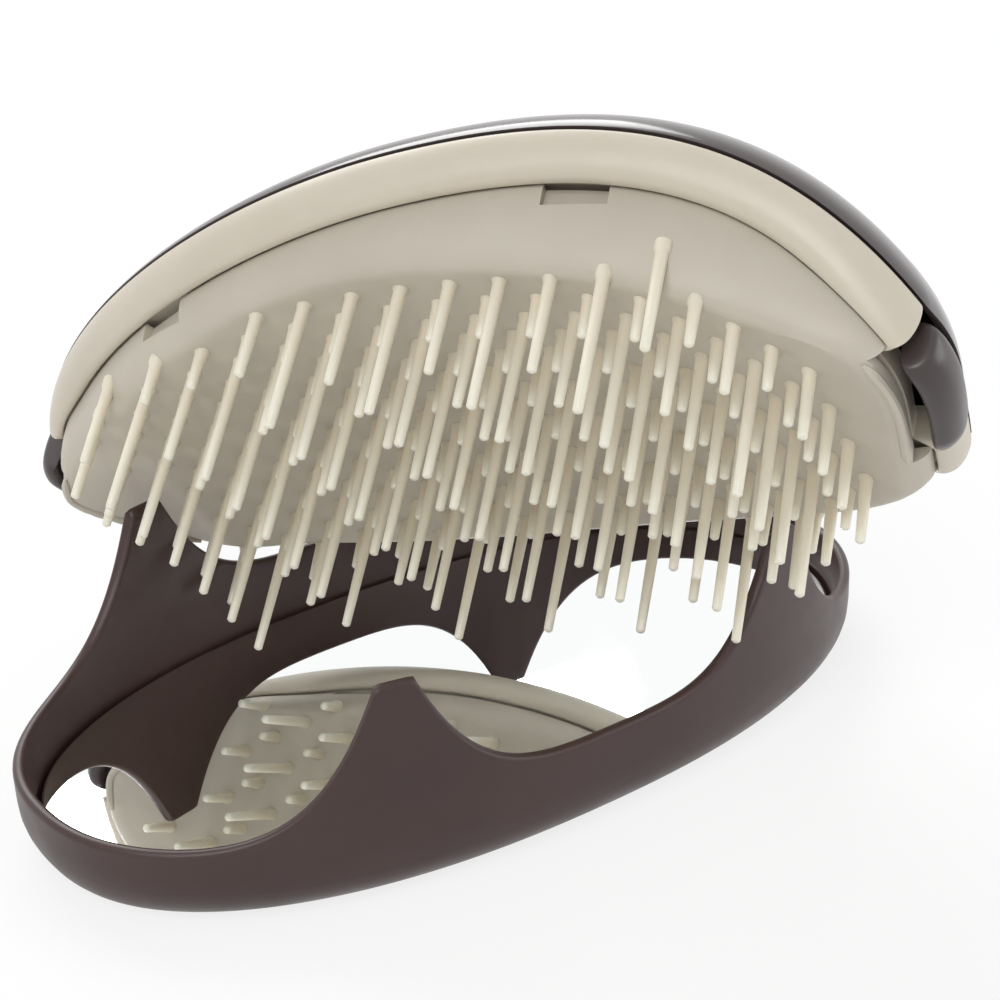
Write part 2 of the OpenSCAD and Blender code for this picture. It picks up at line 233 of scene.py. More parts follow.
def cover_unit_ring():
    """The cover's outline as a unit ring, with close points along the peaks and their flanks."""
    tip_angle = math.degrees(math.acos((PEAK_OUT / COVER_A) ** (COVER_N / 2)))
    end = oval(1, 1, COVER_N, tip_angle * (1 - (1 - np.arange(40) / 40) ** 1.5))
    tip = [(x, unit_y(x)) for x in np.linspace(PEAK_OUT, PEAK_IN, 9) / COVER_A]
    side = [(x, unit_y(x)) for x in PEAK_IN / COVER_A * (1 - (np.arange(1, 37) / 36) ** 1.5)]
    quarter = np.concatenate([end, tip, side])
    back = quarter[::-1][1:]
    return np.concatenate([quarter, back * (-1, 1), quarter[1:] * (-1, -1), (back * (1, -1))[:-1]])


COVER_UNIT = cover_unit_ring()
TIP_EDGE = np.array([PEAK_OUT, COVER_B * unit_y(PEAK_OUT / COVER_A)])


def rim_height(x, y):
    """Height of the cover's wavy rim over a point of its outline."""
    x, y = abs(x), abs(y)
    if PEAK_IN <= x <= PEAK_OUT:
        return PEAK_H
    if x < PEAK_IN:
        return SIDE_DIP_H + (PEAK_H - SIDE_DIP_H) * (x / PEAK_IN) ** SIDE_SLOPE
    reach = math.hypot(COVER_A - TIP_EDGE[0], TIP_EDGE[1])
    left = 1 - math.hypot(x - TIP_EDGE[0], y - TIP_EDGE[1]) / reach
    return END_DIP_H + (PEAK_H - END_DIP_H) * max(0, left) ** END_SLOPE


def softened(heights, passes=2):
    """Rounds the corners of the peaks a little, as a mould does."""
    for _ in range(passes):
        heights = (np.roll(heights, 1) + 2 * heights + np.roll(heights, -1)) / 4
    return heights


RIM_TOP = softened(np.array([rim_height(COVER_A * u, COVER_B * v) for u, v in COVER_UNIT]))


def cover_ring(in_x, in_y, z):
    """The cover's outline drawn in by two amounts, at one height or one height per point."""
    z = np.broadcast_to(z, len(COVER_UNIT))
    return np.column_stack([(COVER_A - in_x) * COVER_UNIT[:, 0], (COVER_B - in_y) * COVER_UNIT[:, 1], z])


def make_cover():
    """The cover from the middle of its base up the outside, over the rim and down the inside."""
    rings = [cover_ring(MIDDLE_IN, MIDDLE_IN, 0.0)]
    for t in (0, 8, 16, 26, 36, 46, 56, 66, 78):
        k = 1 - math.sin(math.radians(t))
        rings.append(cover_ring(FOOT_IN_X * k, FOOT_IN_Y * k, FOOT_RISE * (1 - math.cos(math.radians(t)))))
    for share in (0.12, 0.25, 0.4, 0.55, 0.7, 0.85, 0.95):
        rings.append(cover_ring(0, 0, FOOT_RISE + (RIM_TOP - LIP_DROP - FOOT_RISE) * share))
    half = RIM_WALL / 2
    for t in np.linspace(0, 180, 11):
        inset = half * (1 - math.cos(math.radians(t)))
        rings.append(cover_ring(inset, inset, RIM_TOP - half + half * math.sin(math.radians(t)) * 0.9))
    for share in (0.95, 0.85, 0.7, 0.55, 0.4, 0.25, 0.12):
        inset = COVER_WALL + (RIM_WALL - COVER_WALL) * share
        rings.append(cover_ring(inset, inset, FOOT_RISE + (RIM_TOP - LIP_DROP - FOOT_RISE) * share))
    for inset, z in ((COVER_WALL + 0.02, 4.2), (COVER_WALL + 0.05, 3.0), (COVER_WALL + 0.15, 2.4),
                     (COVER_WALL + 0.35, 2.1), (COVER_WALL + 0.7, COVER_FLOOR), (MIDDLE_IN, COVER_FLOOR)):
        rings.append(cover_ring(inset, inset, z))
    return finished_mesh("cover", *skin(rings, (0, 0, 0), (0, 0, COVER_FLOOR)), sharp=50)


def make_mirror():
    """The mirror: silver in the middle, a dull line of painted reflection (the glass edge seen again in the
    silver beneath) and a bevelled glass edge.
    """
    inset = COVER_WALL + GLASS_GAP
    low = COVER_FLOOR + TAPE_T
    top = low + GLASS_T
    section = ((0.15, low), (0, low + 0.15), (0, top - 0.28), (0.06, top - 0.12), (0.28, top),
               (GLASS_EDGE, top), (GLASS_EDGE + GLASS_LINE, top))
    rings = [cover_ring(inset + k, inset + k, z) for k, z in section]
    points, faces = skin(rings, (0, 0, low), (0, 0, top))
    n = len(COVER_UNIT)
    silver, edge, reflection_ring = 0, 1, 2
    # The ring between the bevel and the silver carries the painted reflection of the glass edge.
    groups = [edge] * (5 * n) + [reflection_ring] * n + [edge] * n + [silver] * n
    return finished_mesh("mirror", points, faces, sharp=20, groups=groups)


# ---- Brush, in its own frame: pins along -Z, back along +Z ----

NOSE_X, NOSE_SHARE, NOSE_SLOPE = 48.0, 0.5, 0.2
LEFT_LIFT, LEFT_FROM, LEFT_RUN = 3.0, -29.0, 16.0
NOSE_SKEW, SKEW_MID, SKEW_WID, SKEW_FROM, SKEW_RUN = 1.9, 7.0, 16.0, 38.0, 10.0


def blunted(x, y):
    """The right end is a little blunter than the oval, most of all on its far side."""
    skew = np.cos(np.clip((y - SKEW_MID) / SKEW_WID, -1, 1) * np.pi / 2) ** 2
    near = np.clip((x - SKEW_FROM) / SKEW_RUN, 0, 1)
    return np.where(x < NOSE_X, x, NOSE_X + NOSE_SHARE * (x - NOSE_X)) - NOSE_SKEW * skew * near


def brush_oval(a, b, t):
    """The brush's egg-shaped outline with its blunter right end."""
    c = np.cos(np.radians(t))
    p = oval(a, b, BRUSH_N + BRUSH_EGG * c, t)
    return np.stack([blunted(p[..., 0], p[..., 1]), p[..., 1]], -1)


def rim_z(x):
    """Height of the rim's arch, which runs out level past the right end's blunting."""
    u = np.minimum(x, NOSE_X) / BRUSH_A
    arch = sum(k * u ** i for i, k in enumerate(ARCH))
    return arch - NOSE_SLOPE * np.maximum(0, x - NOSE_X)


def pad_z(x, y):
    """Height of the pin field, which comes up a little at its left end."""
    u, v = x / BRUSH_A, y / BRUSH_B
    field = PAD_BEND * u ** 2 + PAD_FLATTEN * u ** 4 + PAD_CROWN * v ** 2
    return field + LEFT_LIFT * ease((LEFT_FROM - x) / LEFT_RUN)


def button_mid(side):
    """Each release button sits a little round the nose of its end."""
    return np.where(np.asarray(side) > 0, RIGHT_BUTTON_Y, LEFT_BUTTON_Y)


def ease(s):
    """Smooth step from 0 to 1."""
    return (1 - np.cos(np.pi * np.clip(s, 0, 1))) / 2


def rim_point(t):
    """Point of the rim's outer edge at angle t in degrees."""
    return brush_oval(BRUSH_A, BRUSH_B, t)


def inward(t):
    """The way in from the rim's outline; near the ends it turns to run along the brush."""
    d = rim_point(t + 0.5) - rim_point(t - 0.5)
    n = np.stack([-d[..., 1], d[..., 0]], -1)
    n /= np.linalg.norm(n, axis=-1, keepdims=True)
    p = rim_point(t)
    off_button = np.abs(p[..., 1] - button_mid(p[..., 0]))
    near_end = np.abs(p[..., 0]) >= BRUSH_A / 2
    w = np.where(near_end, ease((END_WID + TURN_BLEND - off_button) / TURN_BLEND), 0)[..., None]
    v = n * (1 - w) + np.stack([-np.sign(p[..., 0]), 0 * p[..., 0]], -1) * w
    return v / np.linalg.norm(v, axis=-1, keepdims=True)


def edge_point(t, inset):
    """Point that far inside the rim's outer edge."""
    return rim_point(t) + inward(t) * np.asarray(inset)[..., None]


def draw_back(x, y):
    """How far the rim is drawn in behind the button at a point of its outline."""
    return RECESS * ease((END_WID + RECESS_BLEND - np.abs(y - button_mid(x))) / RECESS_BLEND)


def lip_z(t):
    """Height of the plate's lip, which follows the rim and stays above the pin field."""
    p = edge_point(t, GROOVE_IN + PAD_IN)
    by_rim = rim_z(rim_point(t)[..., 0]) - RIM_DROP + LIP
    return np.maximum(by_rim, pad_z(p[..., 0], p[..., 1]) + PLATE_T / 2)


def ring3(xy, z):
    """A ring of points in space from its plan and its heights."""
    return np.column_stack([xy, np.broadcast_to(z, len(xy))])


def even_angles(count, power=1.25):
    """Angles round the rim, closer together towards the two ends."""
    q = np.arange(count) * 4 / count
    k = np.floor(q).astype(int)
    s = q - k
    return 90 * (k + np.where(k % 2 == 0, s ** power, 1 - (1 - s) ** power))


RING_POINTS = 288
TURN = even_angles(RING_POINTS)


def make_top_shell():
    """The arched back: an inner and an outer skin joined by a softened edge."""
    def ring(share, inset):
        p = brush_oval(BRUSH_A - inset, BRUSH_B - inset, TURN)
        e = rim_z(p[:, 0]) + SEAM
        q = p * share
        u = q[:, 0] / BRUSH_A
        top = BACK_H + BACK_TILT * u - BACK_BOW * u * u - inset
        return ring3(q, e + (top - e) * (1 - share ** BACK_SWELL) ** (1 / BACK_ROUND))

    shares = [1, 0.998, 0.992, 0.985, 0.97, 0.95, 0.92, 0.88, 0.83, 0.77, 0.7,
              0.62, 0.54, 0.45, 0.36, 0.27, 0.18, 0.09]
    edge = [ring(1, SHELL_T - 0.35) - (0, 0, 0.1), ring(1, 0.35) - (0, 0, 0.1)]
    rings = [ring(s, SHELL_T) for s in shares[::-1]] + edge + [ring(s, 0) for s in shares]
    points, faces = skin(rings, (0, 0, BACK_H - SHELL_T), (0, 0, BACK_H))
    return finished_mesh("top_shell_skin", points, faces, sharp=60)


def through(points, per_part=3):
    """A smooth curve through the points of a section."""
    p = np.asarray(points, float)
    out = []
    for i in range(len(p) - 1):
        a, b, c, d = p[max(i - 1, 0)], p[i], p[i + 1], p[min(i + 2, len(p) - 1)]
        for t in np.arange(per_part) / per_part:
            out.append(0.5 * (2 * b + (c - a) * t + (2 * a - 5 * b + 4 * c - d) * t * t
                              + (3 * b - a - 3 * c + d) * t ** 3))
    return out + [p[-1]]


def make_rim():
    """The frame: its rolled rim, the flange over the plate and the ledge that carries the back."""
    roll = through([[0.18, 0], [0, -0.22], [0, -0.3 * RIM_DROP], [0.12 * RIM_WID, -0.62 * RIM_DROP],
                    [0.35 * RIM_WID, -0.9 * RIM_DROP], [0.65 * RIM_WID, -1.04 * RIM_DROP],
                    [0.92 * RIM_WID, -1.04 * RIM_DROP], [RIM_WID, -0.98 * RIM_DROP]])
    flange = [[RIM_WID, FLANGE_LOW - 0.2], [REACH, FLANGE_LOW], [REACH, FLANGE_LOW + FLANGE_T],
              [RIM_WID + 0.2, FLANGE_LOW + FLANGE_T + 0.4]]
    ledge = [[LEDGE_IN + 0.6, LEDGE_H], [LEDGE_IN, LEDGE_H], [LEDGE_IN, 0]]
    p = rim_point(TURN)
    top = rim_z(p[:, 0])
    back = draw_back(p[:, 0], p[:, 1])
    far = edge_point(TURN, REACH)
    over_plate = pad_z(far[:, 0], far[:, 1]) + PLATE_T + 3 * PLAY
    up = np.maximum(0, over_plate - top - FLANGE_LOW)

    def ring(inset, height):
        return ring3(edge_point(TURN, back + inset * (REACH - back) / REACH), top + height)

    def gathered(height):
        """Behind a button the roll is gathered up to the flange."""
        low = FLANGE_LOW + 0.05 * (height - FLANGE_LOW) + up
        return height + np.maximum(0, low - height) * back / RECESS

    rings = [ring(inset, gathered(height)) for inset, height in roll]
    rings += [ring(inset, height + up) for inset, height in flange]
    rings += [ring(inset, height) for inset, height in ledge]
    return outward(finished_mesh("rim", *skin(rings, joined=True), sharp=40))


def unfolded(ring, passes):
    """Smooths away the small loops that a deep inset makes at the two ends."""
    for _ in range(passes):
        ring = (np.roll(ring, 1, 0) + 2 * ring + np.roll(ring, -1, 0)) / 4
    return ring


def make_plate_body():
    """The plate before it is cut: pin field, skirt and lip, each with its outer and inner skin."""
    t = even_angles(RING_POINTS, 1.1)
    edge = unfolded(edge_point(t, GROOVE_IN + PAD_IN), passes=16)
    in_edge = unfolded(edge_point(t, GROOVE_IN + PAD_IN + PLATE_T), passes=40)
    in_lip = unfolded(edge_point(t, GROOVE_IN + PLATE_T), passes=12)
    lip = {0: edge_point(t, GROOVE_IN), PLATE_T: in_lip}

    def pad(scale, base, thick):
        q = base * scale
        return ring3(q, pad_z(q[:, 0], q[:, 1]) + thick)

    def skirt(angle, base, thick):
        share, lift = math.sin(math.radians(angle)), 1 - math.cos(math.radians(angle))
        g = lip[thick]
        low = pad_z(base[:, 0], base[:, 1]) + thick
        return ring3(base + (g - base) * share, low + (lip_z(t) - low) * lift)

    scales = [0.12, 0.24, 0.36, 0.48, 0.6, 0.72, 0.84, 0.93, 0.98]
    bends = [0, 12, 24, 36, 48, 60, 70, 80, 87]
    rings = [pad(s, edge, 0) for s in scales] + [skirt(a, edge, 0) for a in bends]
    below = 0.03 * (lip_z(t) - pad_z(edge[:, 0], edge[:, 1]))
    rings += [ring3(lip[0], lip_z(t) - below), ring3(edge_point(t, GROOVE_IN + 0.12), lip_z(t))]
    rings += [skirt(a, in_edge, PLATE_T) for a in (90, 70, 48, 24, 0)]
    rings += [pad(s, in_edge, PLATE_T) for s in scales[::-1]]
    return outward(finished_mesh("pin_plate_skin", *skin(rings, (0, 0, 0), (0, 0, PLATE_T))))


def end_x(side, y):
    """Where the rim's outline crosses a line along the brush at y, on one side."""
    v = np.abs(y) / BRUSH_B
    n = BRUSH_N + side * BRUSH_EGG * np.sqrt(1 - v ** (BRUSH_N + side * BRUSH_EGG))
    return blunted(side * BRUSH_A * (1 - v ** n) ** (1 / n), y)


def prism(name, outline, low, high):
    """An upright block with the given outline, closed by one face at each end."""
    n = len(outline)
    points, faces = skin([[(x, y, z) for x, y in outline] for z in (low, high)])
    faces += [tuple(range(n)), tuple(range(2 * n - 1, n - 1, -1))]
    return outward(finished_mesh(name, points, faces))


def block(name, centre, turn, size):
    """A box in the brush's frame, turned about Z."""
    c, s = math.cos(turn), math.sin(turn)
    pts = []
    for z in (-1, 1):
        for x, y in ((-1, -1), (1, -1), (1, 1), (-1, 1)):
            lx, ly = x * size[0] / 2, y * size[1] / 2
            pts.append((centre[0] + c * lx - s * ly, centre[1] + s * lx + c * ly,
                        centre[2] + z * size[2] / 2))
    faces = [(3, 2, 1, 0), (4, 5, 6, 7), (0, 1, 5, 4), (1, 2, 6, 5), (2, 3, 7, 6), (3, 0, 4, 7)]
    return finished_mesh(name, pts, faces)


SLOT_TURNS = [66.6, 124.1, -66.6, -124.1]
SLOT_DEEP, SLOT_LONG, SLOT_TALL, SLOT_BACK = 3.0, 6.0, 4.0, 0.5
HOOK_TURNS = [75, 84, 93, 102, 111, -75, -84, -93, -102, -111]
HOOK_LONG, HOOK_THICK, BARB_OUT, BARB_IN, BARB_TALL = 4.0, 1.2, 0.6, 0.1, 0.5
RIDGE_IN, RIDGE_RADIUS, RIDGE_OUT = 0.42, 0.5, 0.05


def make_pocket_tool(side):
    """What the pocket of a release button takes out of the plate."""
    mid, w = float(button_mid(side)), END_WID + RECESS_BLEND
    y = mid + np.linspace(-w, w, 33)
    past_end = side * (BRUSH_A + 2)
    outline = np.concatenate([np.column_stack([end_x(side, y) - side * RECESS, y]),
                              [(past_end, mid + w), (past_end, mid - w)]])
    base = rim_z(side * BRUSH_A)
    return prism("pocket_tool", outline, base - 12, base + 8)


def make_slot_tool(t):
    """What a window slot takes out of the plate's skirt, next to the groove."""
    t = np.array(t)
    n = inward(t)
    p = edge_point(t, GROOVE_IN) - SLOT_BACK * n
    z = rim_z(rim_point(t)[0]) - RIM_DROP
    return block("slot_tool", (p[0], p[1], z), math.atan2(n[1], n[0]), (SLOT_DEEP, SLOT_LONG, SLOT_TALL))


def make_plate():
    """The plate with its button pockets, window slots, hooks and ridges."""
    tools = [make_pocket_tool(side) for side in (-1, 1)] + [make_slot_tool(t) for t in SLOT_TURNS]
    plate = cut(make_plate_body(), tools)
    hooks = [part for t in HOOK_TURNS for part in make_hook(t)]
    ridges = [make_pocket_ridge(side) for side in (-1, 1)]
    plate = joined_piece("pin_plate_skin", [plate] + hooks + ridges)
    soften(plate)
    return plate


def make_hook(t):
    """A barbed hook inside the rim's flange: foot, post and barb."""
    t = np.array(float(t))
    start, n = edge_point(t, GROOVE_IN + PLATE_T / 2), inward(t)
    turn = math.atan2(n[1], n[0])
    z = rim_z(rim_point(t)[0]) - RIM_DROP
    post = REACH + PLAY - GROOVE_IN - PLATE_T / 2
    grip = RIM_DROP + FLANGE_LOW + FLANGE_T + 2 * PLAY

    def part(lo, hi, low, high):
        c = start + n * (lo + hi) / 2
        return block("hook", (c[0], c[1], z + (low + high) / 2), turn, (hi - lo, HOOK_LONG, high - low))

    foot = part(0, post + HOOK_THICK, -HOOK_THICK, 0)
    arm = part(post, post + HOOK_THICK, -HOOK_THICK, grip + HOOK_THICK)
    barb = part(post - BARB_OUT, post + BARB_IN, grip, grip + BARB_TALL)
    return [foot, arm, barb]


def make_pocket_ridge(side):
    """The raised bead on the plate round the pocket of a release button."""
    w = END_WID + RECESS_BLEND - 0.2
    y = float(button_mid(side)) + np.linspace(-w, w, 29)
    x = end_x(side, y) - side * (RECESS + RIDGE_IN)
    path = np.column_stack([x, y])
    return bead("ridge", np.column_stack([path, plate_z(path) + RIDGE_OUT]), RIDGE_RADIUS)


SKIRT_T = np.arange(0, 360, 0.5)
SKIRT_EDGE = edge_point(SKIRT_T, GROOVE_IN + PAD_IN)
SKIRT_IN = inward(SKIRT_T)


def plate_z(xy):
    """Height of the plate's outer face over points of the pin field and the skirt."""
    out = []
    for p in np.atleast_2d(xy):
        j = int(np.argmin(np.linalg.norm(SKIRT_EDGE - p, axis=1)))
        s = min(0.97, float((SKIRT_EDGE[j] - p) @ SKIRT_IN[j]) / PAD_IN)
        if s <= 0:
            out.append(pad_z(*p))
        else:
            low = pad_z(*SKIRT_EDGE[j])
            out.append(low + max(0, lip_z(SKIRT_T[j]) - low) * (1 - math.sqrt(1 - s * s)))
    return np.array(out)


# ---- Pins: one tree of nodes places, stretches and shapes them all ----

def pin_places():
    """Root of each pin on the plate and how far its tip stands out from there."""
    places, lengths = [], []
    for row in range(2 * MID_ROW + 1):
        i = min(row, 2 * MID_ROW - row)
        first = ROW_FIRST[i] + (1 if row in LATE_ROWS else 0)
        last = ROW_LAST[i]
        k = first
        while k <= last:
            x, y = (k - FIELD_MID) * PIN_STEP, (row - MID_ROW) * ROW_STEP
            if row % 2:
                length = PIN_SHORT
            elif k < first + 1 or k > last - 1:
                length = PIN_EDGE
            else:
                length = PIN_LONG if k % 2 == 0 else PIN_MID
            root = plate_z((x, y))[0]
            places.append((x, y, root))
            lengths.append(root - (pad_z(x, y) - length))
            k += 1
    return places, lengths


class Tree:
    """Short way to write a tree of nodes."""

    def __init__(self, tree):
        self.tree = tree

    def add(self, kind, inputs=None, **settings):
        node = self.tree.nodes.new(kind)
        for key, value in settings.items():
            setattr(node, key, value)
        for key, value in (inputs or {}).items():
            socket = node.inputs[key]
            if isinstance(value, bpy.types.NodeSocket):
                self.tree.links.new(value, socket)
            else:
                socket.default_value = value
        return node

    def math(self, operation, a, b=0.0):
        node = self.add("ShaderNodeMath", operation=operation)
        for socket, value in zip(node.inputs, (a, b)):
            if isinstance(value, bpy.types.NodeSocket):
                self.tree.links.new(value, socket)
            else:
                socket.default_value = value
        return node.outputs[0]


def pin_tree(material):
    """Nodes that set a moulded pin, flared at its root and chamfered at its tip, on every point."""
    tree = bpy.data.node_groups.new("moulded_pins", "GeometryNodeTree")
    tree.interface.new_socket("Geometry", in_out="INPUT", socket_type="NodeSocketGeometry")
    sizes = (("Root Radius", PIN_ROOT / 2), ("Tip Radius", PIN_TIP / 2), ("Flare Radius", PIN_FLARE / 2),
             ("Flare Height", 0.45), ("Root Depth", 0.9), ("Tip Chamfer", 0.16))
    for name, value in sizes:
        socket = tree.interface.new_socket(name, in_out="INPUT", socket_type="NodeSocketFloat")
        socket.default_value = value * MM
    sides = tree.interface.new_socket("Sides", in_out="INPUT", socket_type="NodeSocketInt")
    sides.default_value = 12
    tree.interface.new_socket("Geometry", in_out="OUTPUT", socket_type="NodeSocketGeometry")
    t = Tree(tree)
    given = t.add("NodeGroupInput").outputs
    place = t.add("GeometryNodeInputPosition").outputs[0]
    height = t.add("ShaderNodeSeparateXYZ", {0: place}).outputs[2]

    def ring_part(bottom, top, depth, at, along, steps=1, drop=None):
        """A band of the pin between two radii; drop names the end cap that is taken off."""
        cone = t.add("GeometryNodeMeshCone", {"Vertices": given["Sides"], "Side Segments": steps,
                                              "Radius Top": top, "Radius Bottom": bottom, "Depth": depth},
                     fill_type="NGON" if drop else "NONE")
        shape = cone.outputs["Mesh"]
        if drop:
            cap = {"Geometry": shape, "Selection": cone.outputs[drop]}
            shape = t.add("GeometryNodeDeleteGeometry", cap, domain="FACE").outputs[0]
        if along == "shaft":
            share = t.math("SUBTRACT", 1.0, t.math("DIVIDE", height, depth))
        else:
            share = float(along)
        marked = {"Geometry": shape, "Name": "along", "Value": share}
        shape = t.add("GeometryNodeStoreNamedAttribute", marked, data_type="FLOAT",
                      domain="POINT").outputs[0]
        drop_by = t.math("MULTIPLY", height, -1.0) if along == "shaft" else 0.0
        shift = t.add("ShaderNodeCombineXYZ", {"Z": t.math("ADD", drop_by, at)}).outputs[0]
        return t.add("GeometryNodeSetPosition", {"Geometry": shape, "Offset": shift}).outputs[0]

    chamfer = given["Tip Chamfer"]
    shaft = ring_part(given["Tip Radius"], given["Root Radius"], 0.01, 0.0, "shaft", steps=3)
    flare = ring_part(given["Root Radius"], given["Flare Radius"], given["Flare Height"], 0.0, 0)
    root = ring_part(given["Flare Radius"], given["Flare Radius"], given["Root Depth"],
                     given["Flare Height"], 0, drop="Bottom")
    tip = ring_part(t.math("SUBTRACT", given["Tip Radius"], chamfer), given["Tip Radius"], chamfer,
                    t.math("MULTIPLY", chamfer, -1.0), 1, drop="Top")
    whole = t.add("GeometryNodeJoinGeometry")
    for part in (tip, root, flare, shaft):
        tree.links.new(part, whole.inputs[0])
    turn = t.add("FunctionNodeRandomValue", {"Seed": 7}, data_type="FLOAT_VECTOR")
    turn.inputs["Min"].default_value = (-PIN_TILT, -PIN_TILT, 0.0)
    turn.inputs["Max"].default_value = (PIN_TILT, PIN_TILT, 0.5)
    field = {"Points": given["Geometry"], "Instance": whole.outputs[0], "Rotation": turn.outputs[0]}
    standing = t.add("GeometryNodeInstanceOnPoints", field).outputs[0]
    real = t.add("GeometryNodeRealizeInstances", {"Geometry": standing}).outputs[0]

    def attribute(name):
        return t.add("GeometryNodeInputNamedAttribute", {"Name": name}, data_type="FLOAT").outputs[0]

    reach = t.math("SUBTRACT", attribute("pin_length"), chamfer)
    down = t.math("MULTIPLY", t.math("MULTIPLY", attribute("along"), reach), -1.0)
    placed = t.add("GeometryNodeSetPosition", {
        "Geometry": real, "Offset": t.add("ShaderNodeCombineXYZ", {"Z": down}).outputs[0]}).outputs[0]
    closed = t.add("GeometryNodeMergeByDistance", {"Geometry": placed, "Distance": 2e-6}).outputs[0]
    made = t.add("GeometryNodeSetMaterial", {"Geometry": closed, "Material": material}).outputs[0]
    t.add("NodeGroupOutput", {"Geometry": made})
    return tree


def make_pins(material):
    """All pins as one piece. Each point of the field carries the length of its pin."""
    places, lengths = pin_places()
    mesh = bpy.data.meshes.new("pin_roots")
    mesh.from_pydata([(x * MM, y * MM, (z - PIN_SUNK) * MM) for x, y, z in places], [], [])
    lengths = [(n - PIN_SUNK) * MM for n in lengths]
    mesh.attributes.new("pin_length", "FLOAT", "POINT").data.foreach_set("value", lengths)
    field = bpy.data.objects.new("pin_field", mesh)
    scene.collection.objects.link(field)
    field.modifiers.new("pins", "NODES").node_group = pin_tree(material)
    pins = plain(field, "pins")
    outward(pins)
    soften(pins, 50)
    return pins


# ---- Release buttons ----

def make_button(side):
    """An end piece of the rim with a crowned face, a soft crease under it and a rounded foot."""
    face = [[2.2, 0], [1.3, -0.05], [0.55, -0.3], [0.12, -0.9], [0, -1.8], [0.1, -2.9], [0.4, -3.8],
            [0.95, -4.5], [1.6, -4.9], [2.3, -5.0], [2.8, -4.8], [BUTTON_DEPTH, -4.3]]
    back = [[BUTTON_DEPTH, -3.2], [BUTTON_DEPTH, -1.8], [BUTTON_DEPTH, -0.6], [2.8, -0.1]]
    section = through(face, 2) + [np.array(p) for p in back]
    share = np.sin(np.radians(np.linspace(-90, 90, 41)))
    y_all = float(button_mid(side)) + (BUTTON_WID / 2 - PLAY) * share
    rings = []
    drop = 1.0 if side > 0 else LEFT_BUTTON_TALL
    for s, y in zip(share, y_all):
        swell = 1 - abs(np.arcsin(s) / (math.pi / 2)) ** 5
        x = end_x(side, y)
        top = rim_z(x) - BUTTON_SEAM
        out = BUTTON_CROWN * swell - BUTTON_ROUND * (1 - swell)
        rings.append([(x + side * (out - c[0] * (swell * 0.25 + 0.75)),
                       y, top + drop * c[1] * (0.86 + 0.14 * swell)) for c in section])
    middles = [np.mean(rings[0], 0), np.mean(rings[-1], 0)]
    name = "right_button_cap" if side > 0 else "left_button_cap"
    return outward(finished_mesh(name, *skin(rings, middles[0], middles[1]), sharp=45))


# ---- Materials: moulded plastics, mirror and pad, from nodes on Object coordinates ----

def srgb(r, g, b):
    """A colour as the eye reads it, 0 to 255, as shader values."""
    def one(v):
        v /= 255
        return v / 12.92 if v <= 0.04045 else ((v + 0.055) / 1.055) ** 2.4
    return (one(r), one(g), one(b), 1.0)


def new_material(name, **values):
    """A material with the given values on its shader's own sockets."""
    material = bpy.data.materials.new(name)
    material.use_nodes = True
    t = Tree(material.node_tree)
    shader = material.node_tree.nodes["Principled BSDF"]
    for key, value in values.items():
        shader.inputs[key.replace("_", " ")].default_value = value
    t.shader = shader
    t.place = t.add("ShaderNodeTexCoord").outputs["Object"]
    return material, t


def noise(t, scale, detail=3.0, rough=0.55, stretch=(1, 1, 1)):
    """Noise with features of about 1/scale metres."""
    spot = t.add("ShaderNodeMapping", {"Vector": t.place, "Scale": stretch}).outputs[0]
    sizes = {"Vector": spot, "Scale": scale, "Detail": detail, "Roughness": rough}
    return t.add("ShaderNodeTexNoise", sizes).outputs[0]


def spread(t, value, low, high, start=0.3, stop=0.7):
    """A value from start to stop, spread evenly from low to high."""
    return t.add("ShaderNodeMapRange", {"Value": value, "From Min": start, "From Max": stop,
                                        "To Min": low, "To Max": high}).outputs[0]


def blend_colours(t, factor, first, second):
    """Socket of a colour that goes from the first to the second."""
    node = t.add("ShaderNodeMix", data_type="RGBA")
    t.tree.links.new(factor, node.inputs[0])
    for socket, colour in ((node.inputs[6], first), (node.inputs[7], second)):
        if isinstance(colour, bpy.types.NodeSocket):
            t.tree.links.new(colour, socket)
        else:
            socket.default_value = colour
    return node.outputs[2]


def moulded(name, colour, cloud, rough, grain, grain_depth, **values):
    """Moulded plastic: faint cloudy colour, uneven gloss, and the fine grain of the mould."""
    material, t = new_material(name, **values)
    clouds = noise(t, 60, 4)
    tint = blend_colours(t, spread(t, clouds, 0, 1), colour, cloud)
    t.tree.links.new(tint, t.shader.inputs["Base Color"])
    gloss = noise(t, 220, 3)
    t.tree.links.new(spread(t, gloss, rough - 0.035, rough + 0.05), t.shader.inputs["Roughness"])
    fine = noise(t, grain, 2, 0.6)
    swell = noise(t, 110, 1)
    height = t.math("ADD", t.math("MULTIPLY", fine, grain_depth), t.math("MULTIPLY", swell, 1.2e-5))
    bump = t.add("ShaderNodeBump", {"Height": height, "Strength": 0.6, "Distance": 1.0})
    t.tree.links.new(bump.outputs[0], t.shader.inputs["Normal"])
    return material, t


BEIGE_GLOW = (1.0, 0.72, 0.5)


def cover_plastic():
    return moulded("cover_brown_satin", srgb(68, 49, 47), srgb(60, 42, 40), 0.38, 4200, 7e-6, IOR=1.45,
                   Subsurface_Weight=0.22, Subsurface_Radius=(1.0, 0.32, 0.16), Subsurface_Scale=0.0016)


def shell_plastic():
    return moulded("shell_brown_gloss", srgb(70, 61, 61), srgb(62, 53, 53), 0.2, 5200, 1e-6, IOR=1.5,
                   Coat_Weight=0.35, Coat_Roughness=0.06)


def button_plastic():
    return moulded("button_brown", srgb(62, 52, 51), srgb(54, 45, 45), 0.34, 5200, 2e-6, IOR=1.5,
                   Coat_Weight=0.08, Coat_Roughness=0.15)


def rim_plastic():
    return moulded("rim_beige_satin", srgb(208, 200, 184), srgb(200, 191, 175), 0.36, 4600, 4e-6, IOR=1.49,
                   Subsurface_Weight=0.16, Subsurface_Radius=BEIGE_GLOW, Subsurface_Scale=0.0014)


